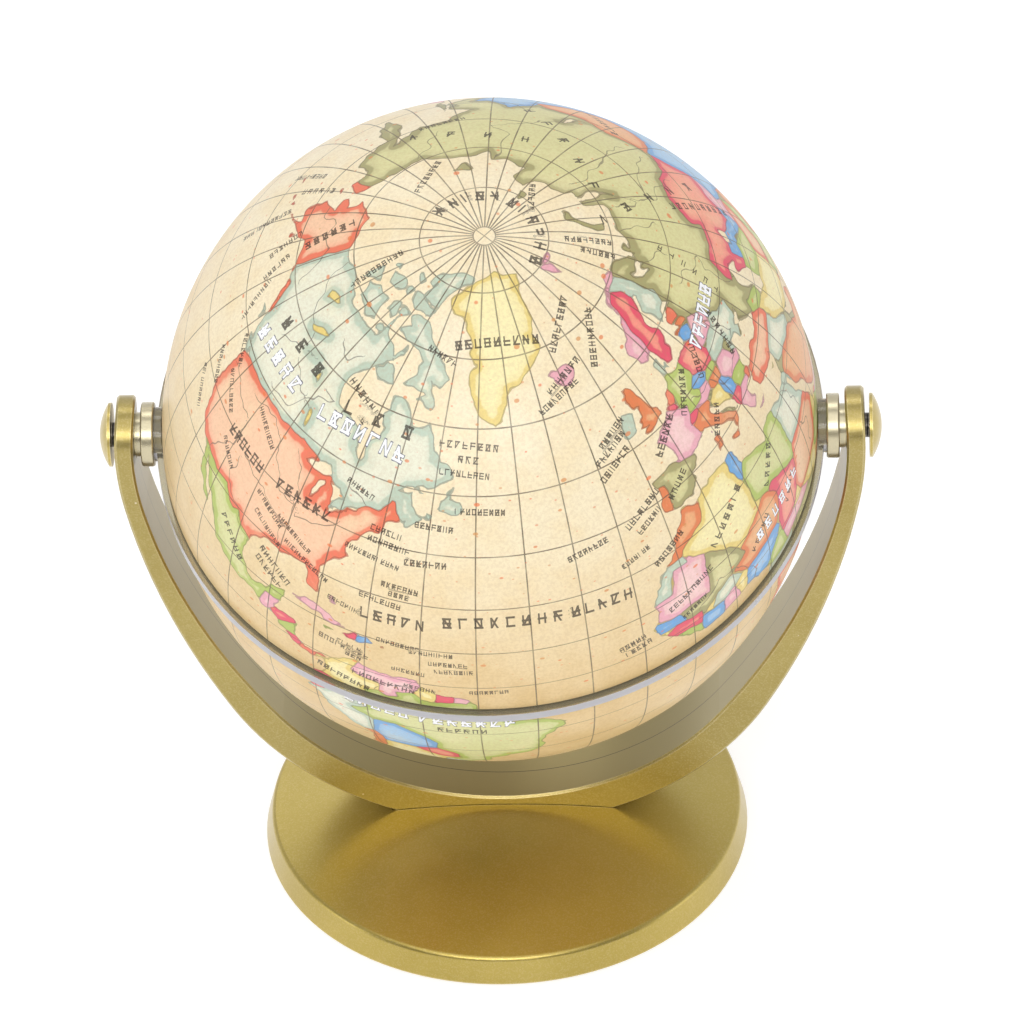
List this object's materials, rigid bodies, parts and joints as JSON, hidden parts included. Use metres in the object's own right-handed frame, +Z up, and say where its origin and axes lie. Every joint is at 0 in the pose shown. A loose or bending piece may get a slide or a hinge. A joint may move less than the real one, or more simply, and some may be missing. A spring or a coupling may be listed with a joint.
{
  "type": "desktop globe",
  "caption": "Desktop globe: printed ball spinning on a clear equator ring, hung between the tips of a gold U-arm on a domed round base.",
  "frame": {"origin": "centre of the felt pad's lower face, on the table", "axes": "+Z up, X along the two pivots, -Y the front, towards which the north pole leans"},
  "size_m": [0.1266, 0.1068, 0.1392],
  "materials": {
    "gold_paint": "satin",
    "champagne": "satin",
    "black_screw": "satin",
    "steel": "satin",
    "iron": "matt",
    "print": "satin",
    "inner_plastic": "matt",
    "clear": "polished",
    "cover_black": "matt",
    "felt": "matt",
    "washer": "matt"
  },
  "bodies": {
    "stand": {"base_shell": "gold_paint", "base_ballast": "iron", "base_bottom_cover": "cover_black", "felt_pad": "felt", "base_screws": "steel", "arm_front_half": "gold_paint", "arm_rear_half": "gold_paint", "arm_dowels": "steel", "arm_foot_screws": "steel", "right_pivot_bush": "inner_plastic", "left_pivot_bush": "inner_plastic"},
    "ring": {"equator_ring": "clear", "right_flange": "champagne", "left_flange": "champagne", "right_spacer": "champagne", "left_spacer": "champagne", "right_friction_washer": "washer", "left_friction_washer": "washer", "right_pivot_screw": "black_screw", "left_pivot_screw": "black_screw", "right_cap": "gold_paint", "left_cap": "gold_paint"},
    "ball": {"north_hemisphere": "print", "south_hemisphere": "print", "coupling_sleeve": "inner_plastic"}
  },
  "joints": [
    {"name": "ring_tilt", "type": "hinge", "parent": "stand", "child": "ring", "pos_m": [0, 0, 0.085], "axis": [1, 0, 0], "continuous": true},
    {"name": "globe_spin", "type": "hinge", "parent": "ring", "child": "ball", "pos_m": [0, 0, 0.085], "axis": [0, -0.3256, 0.9455], "continuous": true}
  ]
}
